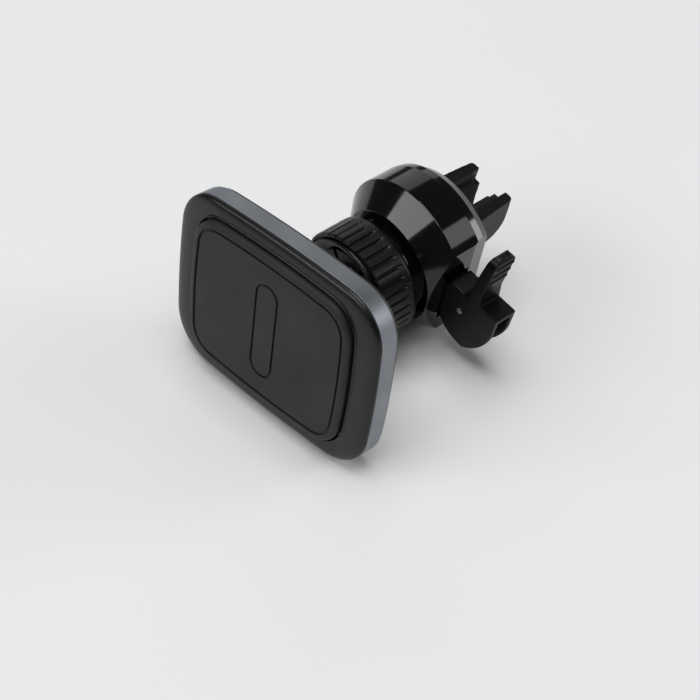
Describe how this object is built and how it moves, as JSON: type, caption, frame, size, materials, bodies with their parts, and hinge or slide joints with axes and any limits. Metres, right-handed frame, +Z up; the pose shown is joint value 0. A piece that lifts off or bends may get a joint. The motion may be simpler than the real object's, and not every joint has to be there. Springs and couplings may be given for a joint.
{
  "type": "magnetic air vent phone mount",
  "caption": "Magnetic phone mount for a car air vent: rounded plate on a lockable ball joint, round body with a cam lever that closes rubber-lined jaws.",
  "frame": {"origin": "on the clamp body's axis, in the plane of its rear rim, between the jaws, where a vent blade's edge stops", "axes": "+Z up from the surface that the mount lies on, +Y along the body's axis from the plate to the jaws, +X towards the lever's side"},
  "size_m": [0.0615, 0.0732, 0.0461],
  "materials": {
    "pad": "matte, fine grain",
    "bezel": "gloss black",
    "trim": "satin gunmetal",
    "cover": "satin black",
    "body": "gloss black",
    "nut": "satin black",
    "mechanism": "satin black",
    "ball": "polished black",
    "rubber": "matte",
    "steel": "bright",
    "magnet": "nickel plated"
  },
  "bodies": {
    "clamp_body": {"housing": "body", "rear_cover": "cover", "rear_screws": "steel", "jaw_near": "mechanism", "liner_near": "rubber", "guide_pins": "steel", "cam_washer": "steel", "socket": "mechanism", "socket_screws": "steel"},
    "nut": {"lock_nut": "nut"},
    "grip": {"grip_ring": "rubber"},
    "ball": {"ball": "ball"},
    "plate": {"pad": "pad", "front_bezel": "bezel", "trim_band": "trim", "back_cover": "cover", "magnets": "magnet", "magnet_plate": "steel", "head_screws": "steel", "ball_stud": "steel", "stud_screw": "steel"},
    "sliding_jaw": {"jaw_far": "mechanism", "liner_far": "rubber", "tie_rod": "steel", "rod_nut": "steel", "release_spring": "steel"},
    "lever": {"cam_lever": "mechanism", "lever_pin": "steel"}
  },
  "joints": [
    {"name": "nut_turn", "type": "hinge", "parent": "clamp_body", "child": "nut", "pos_m": [0, -0.0241, 0], "axis": [0, 1, 0], "range_deg": [0, 180]},
    {"name": "ball_swing", "type": "hinge", "parent": "clamp_body", "child": "grip", "pos_m": [0, -0.0256, 0], "axis": [0, 1, 0], "continuous": true},
    {"name": "ball_tilt", "type": "hinge", "parent": "grip", "child": "ball", "pos_m": [0, -0.0256, 0], "axis": [-0.8817, 0, 0.4718], "range_deg": [-40.71, 19.29]},
    {"name": "plate_spin", "type": "hinge", "parent": "ball", "child": "plate", "pos_m": [0, -0.0256, 0], "axis": [0.0877, -0.9826, 0.1639], "continuous": true},
    {"name": "jaw_slide", "type": "slide", "parent": "clamp_body", "child": "sliding_jaw", "axis": [0.9848, 0, -0.1736], "range_m": [0, 0.003], "deforming": ["release_spring"]},
    {"name": "lever_flip", "type": "hinge", "parent": "sliding_jaw", "child": "lever", "pos_m": [0.0192, -0.009, -0.00339], "axis": [0, 1, 0], "range_deg": [0, 90]}
  ],
  "couplings": [
    {"joint": "jaw_slide", "follows": "lever_flip", "m_per_rad": 0.0019099}
  ]
}
